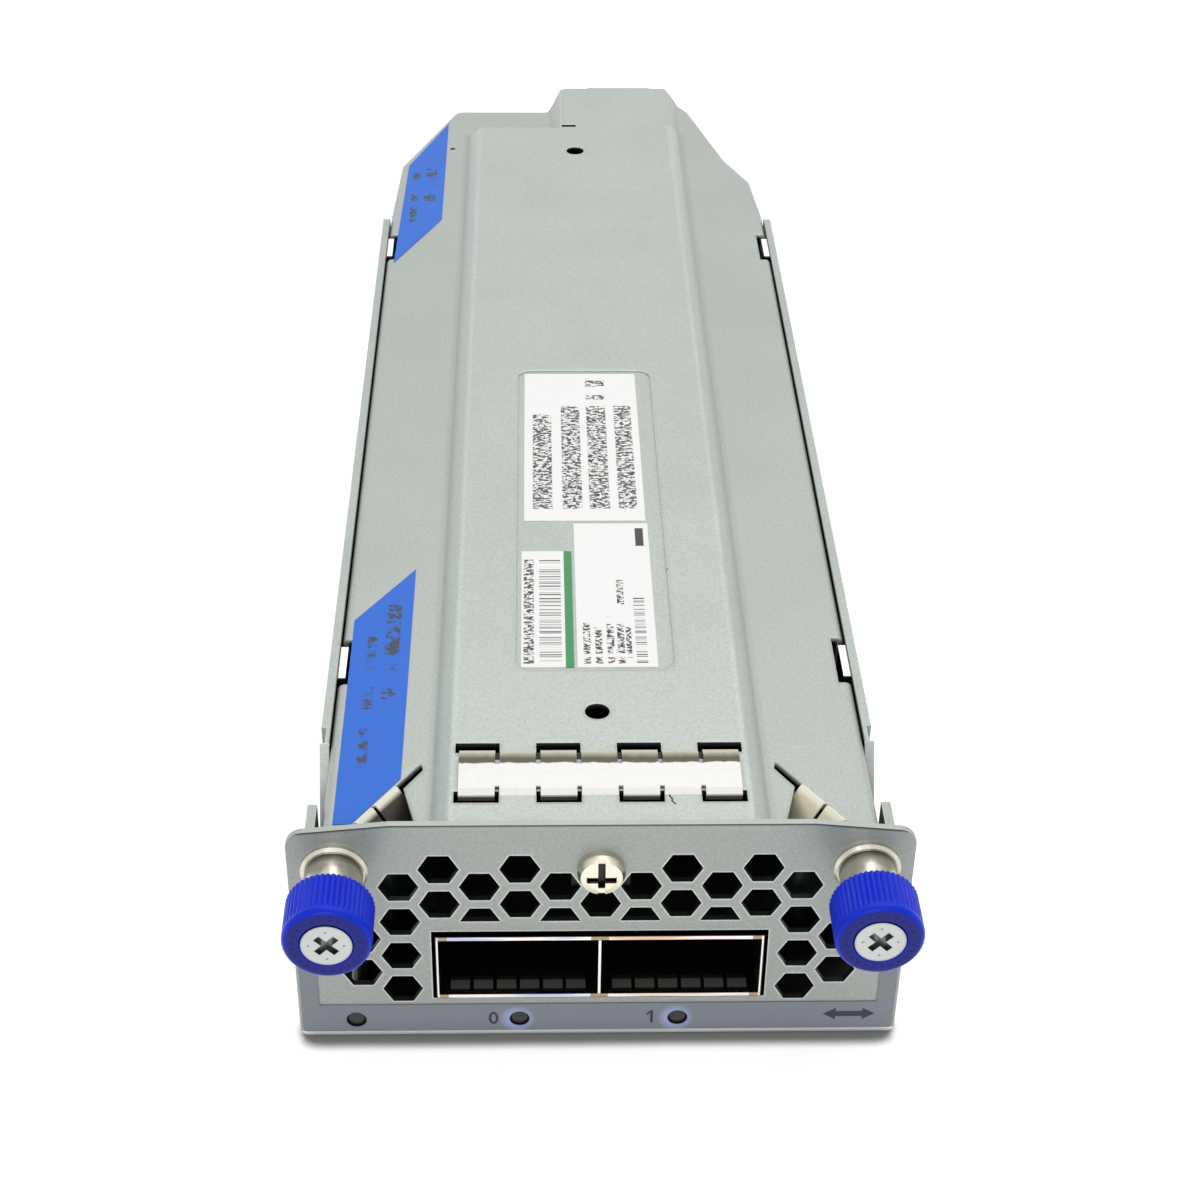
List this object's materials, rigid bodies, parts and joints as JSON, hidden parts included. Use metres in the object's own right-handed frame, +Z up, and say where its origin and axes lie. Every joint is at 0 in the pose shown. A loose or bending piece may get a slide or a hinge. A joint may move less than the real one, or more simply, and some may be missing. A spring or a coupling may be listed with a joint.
{
  "type": "encryption module",
  "caption": "Shielded steel plug-in module with a vented face plate, twin port cage, joggled cover, edge tray, rear connector and two captive thumbscrews.",
  "frame": {"origin": "middle of the module's box, on the surface that its tray stands on", "axes": "+Y from the face plate to the rear connector, +Z up through the cover, +X to the right seen from the face"},
  "size_m": [0.0712, 0.2276, 0.0335],
  "materials": {
    "plate_steel": "satin zinc-grey sheet steel",
    "face_film": "matt blue-grey printed film",
    "cover_steel": "pale grey-green zinc-plated sheet steel",
    "tray_steel": "pale grey zinc-plated sheet steel",
    "cage_steel": "bright thin nickel-plated sheet",
    "spring_foil": "bright spring foil with a faint warm tint",
    "white_label": "white label film with grey print bars",
    "blue_sticker": "mid-blue label film",
    "board": "green solder mask on glass laminate",
    "nickel": "bright nickel plate",
    "chip": "black moulded package",
    "thermal_pad": "soft pale blue-grey gap pad",
    "heatsink": "extruded natural aluminium",
    "ferrite": "dark pressed ferrite",
    "can": "bright drawn can",
    "connector": "black glass-filled moulding",
    "die_cast": "die-cast zinc-grey metal",
    "blue_knob": "royal-blue moulded plastic with a violet face",
    "spring_wire": "round spring-steel wire",
    "light_pipe": "dark clear moulded light pipe"
  },
  "bodies": {
    "root": {"face_plate": "plate_steel", "face_film": "face_film", "top_cover": "cover_steel", "base_tray": "tray_steel", "port_cage": "cage_steel", "gasket_strip": "spring_foil", "warning_label": "white_label", "rating_label": "white_label", "serial_label": "white_label", "front_sticker": "blue_sticker", "rear_sticker": "blue_sticker", "main_board": "board", "board_pillars": "nickel", "board_screws": "nickel", "encryption_processor": "chip", "thermal_pad": "thermal_pad", "processor_heatsink": "heatsink", "memory_chips": "chip", "power_chokes": "ferrite", "capacitors": "can", "oscillator": "can", "backplane_connector": "connector", "guide_socket": "die_cast", "middle_screw": "nickel", "port_socket_left": "connector", "corner_clip_left": "spring_foil", "thumbscrew_collar_left": "nickel", "thumbscrew_spring_left": "spring_wire", "port_socket_right": "connector", "corner_clip_right": "spring_foil", "thumbscrew_collar_right": "nickel", "thumbscrew_spring_right": "spring_wire", "light_pipe_status": "light_pipe", "light_pipe_port_0": "light_pipe", "light_pipe_port_1": "light_pipe"},
    "plunger_left": {"thumbscrew_washer_left": "nickel"},
    "thumbscrew_left": {"thumbscrew_knob_left": "blue_knob", "thumbscrew_screw_left": "nickel"},
    "plunger_right": {"thumbscrew_washer_right": "nickel"},
    "thumbscrew_right": {"thumbscrew_knob_right": "blue_knob", "thumbscrew_screw_right": "nickel"}
  },
  "joints": [
    {"name": "thumbscrew_travel_left", "type": "slide", "parent": "root", "child": "plunger_left", "axis": [0, 1, 0], "range_m": [0, 0.0043], "stiffness_N_per_m": 300, "deforming": ["thumbscrew_spring_left"]},
    {"name": "thumbscrew_turn_left", "type": "hinge", "parent": "plunger_left", "child": "thumbscrew_left", "pos_m": [-0.0303, -0.1106, 0.0269], "axis": [0, 1, 0], "continuous": true},
    {"name": "thumbscrew_travel_right", "type": "slide", "parent": "root", "child": "plunger_right", "axis": [0, 1, 0], "range_m": [0, 0.0043], "stiffness_N_per_m": 300, "deforming": ["thumbscrew_spring_right"]},
    {"name": "thumbscrew_turn_right", "type": "hinge", "parent": "plunger_right", "child": "thumbscrew_right", "pos_m": [0.0303, -0.1106, 0.0269], "axis": [0, 1, 0], "continuous": true}
  ]
}
